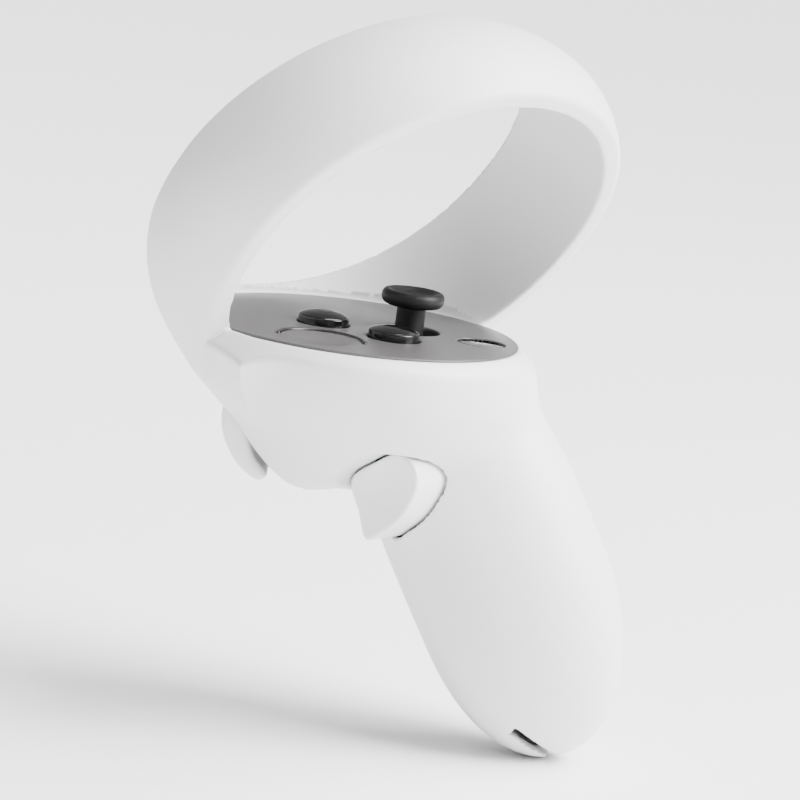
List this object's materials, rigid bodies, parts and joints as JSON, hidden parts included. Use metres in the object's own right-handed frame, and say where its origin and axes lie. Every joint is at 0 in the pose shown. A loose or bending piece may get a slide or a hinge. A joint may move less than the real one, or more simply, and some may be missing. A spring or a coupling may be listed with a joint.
{
  "type": "vr motion controller",
  "caption": "Right-hand VR motion controller: tilted tracking ring over a round button plate, thumbstick, index trigger, side grip button and a rounded handle.",
  "frame": {"origin": "centre of the round button plate's top face", "axes": "+Z the plate's outward normal, +Y forward away from the user, +X to the user's right"},
  "size_m": [0.0853, 0.1003, 0.1402],
  "materials": {
    "shell_white": "fine matte texture",
    "plate_grey": "satin",
    "button_black": "polished",
    "home_grey": "satin",
    "stick_black": "soft matte",
    "grip_white": "semi-gloss",
    "trigger_white": "semi-gloss",
    "dark_plastic": "moulded",
    "steel": "plated",
    "brass": "plated",
    "board_green": "solder mask",
    "cell_wrap": "printed wrap, no text",
    "flex_amber": "polyimide film",
    "led_clear": "clear lens"
  },
  "bodies": {
    "controller_body": {"ring_shell": "shell_white", "handle_shell": "shell_white", "ring_inner_cover": "shell_white", "face_plate": "plate_grey", "thumb_rest_arc": "dark_plastic", "dome_switch_a": "steel", "dome_switch_b": "steel", "dome_switch_home": "steel", "stick_base": "dark_plastic", "button_board": "board_green", "main_board": "board_green", "board_screw_1": "steel", "board_screw_2": "steel", "board_screw_3": "steel", "trigger_pin": "steel", "trigger_bracket": "dark_plastic", "trigger_spring": "steel", "grip_pin": "steel", "grip_spring": "steel", "battery_cell": "cell_wrap", "battery_tray": "dark_plastic", "contact_spring": "steel", "contact_plus": "brass", "haptic_motor": "steel", "antenna_strip": "brass", "strap_bar": "steel", "led_flex": "flex_amber", "tracking_led_1": "led_clear", "tracking_led_2": "led_clear", "tracking_led_3": "led_clear", "tracking_led_4": "led_clear", "tracking_led_5": "led_clear", "tracking_led_6": "led_clear", "tracking_led_7": "led_clear"},
    "button_a_body": {"button_a": "button_black"},
    "button_b_body": {"button_b": "button_black"},
    "home_body": {"home_button": "home_grey"},
    "trigger_body": {"trigger": "trigger_white"},
    "grip_body": {"grip_button": "grip_white"},
    "door_body": {"battery_door": "shell_white"},
    "stick_click_body": {"stick_click_cradle": "dark_plastic"},
    "stick_gimbal_body": {"stick_gimbal": "steel"},
    "stick_body": {"stick_shaft": "stick_black", "stick_cap": "stick_black"}
  },
  "joints": [
    {"name": "button_a_press", "type": "slide", "parent": "controller_body", "child": "button_a_body", "axis": [0, 0, -1], "range_m": [0, 0.0005], "stiffness_N_per_m": 400, "springref_m": -0.0004},
    {"name": "button_b_press", "type": "slide", "parent": "controller_body", "child": "button_b_body", "axis": [0, 0, -1], "range_m": [0, 0.0005], "stiffness_N_per_m": 400, "springref_m": -0.0004},
    {"name": "home_press", "type": "slide", "parent": "controller_body", "child": "home_body", "axis": [0, 0, -1], "range_m": [0, 0.0005], "stiffness_N_per_m": 400, "springref_m": -0.0004},
    {"name": "trigger_pull", "type": "hinge", "parent": "controller_body", "child": "trigger_body", "pos_m": [0, 0.0182, -0.0106], "axis": [-1, 0, 0], "range_deg": [0, 12], "stiffness_Nm_per_rad": 0.04, "springref_deg": -14.32},
    {"name": "grip_squeeze", "type": "hinge", "parent": "controller_body", "child": "grip_body", "pos_m": [-0.0057, -0.0066, -0.028], "axis": [0, 0, 1], "range_deg": [0, 7], "stiffness_Nm_per_rad": 0.04, "springref_deg": -14.32},
    {"name": "battery_door_lift", "type": "slide", "parent": "controller_body", "child": "door_body", "axis": [1, 0, 0], "range_m": [0, 0.03]},
    {"name": "stick_click", "type": "slide", "parent": "controller_body", "child": "stick_click_body", "axis": [0, 0, -1], "range_m": [0, 0.0005], "stiffness_N_per_m": 1500, "springref_m": -0.0004},
    {"name": "stick_tilt_front", "type": "hinge", "parent": "stick_click_body", "child": "stick_gimbal_body", "pos_m": [0.0028, -0.0102, -0.007], "axis": [1, 0, 0], "range_deg": [-14, 14], "stiffness_Nm_per_rad": 0.015},
    {"name": "stick_tilt_side", "type": "hinge", "parent": "stick_gimbal_body", "child": "stick_body", "pos_m": [0.0028, -0.0102, -0.007], "axis": [0, 1, 0], "range_deg": [-14, 14], "stiffness_Nm_per_rad": 0.015}
  ]
}
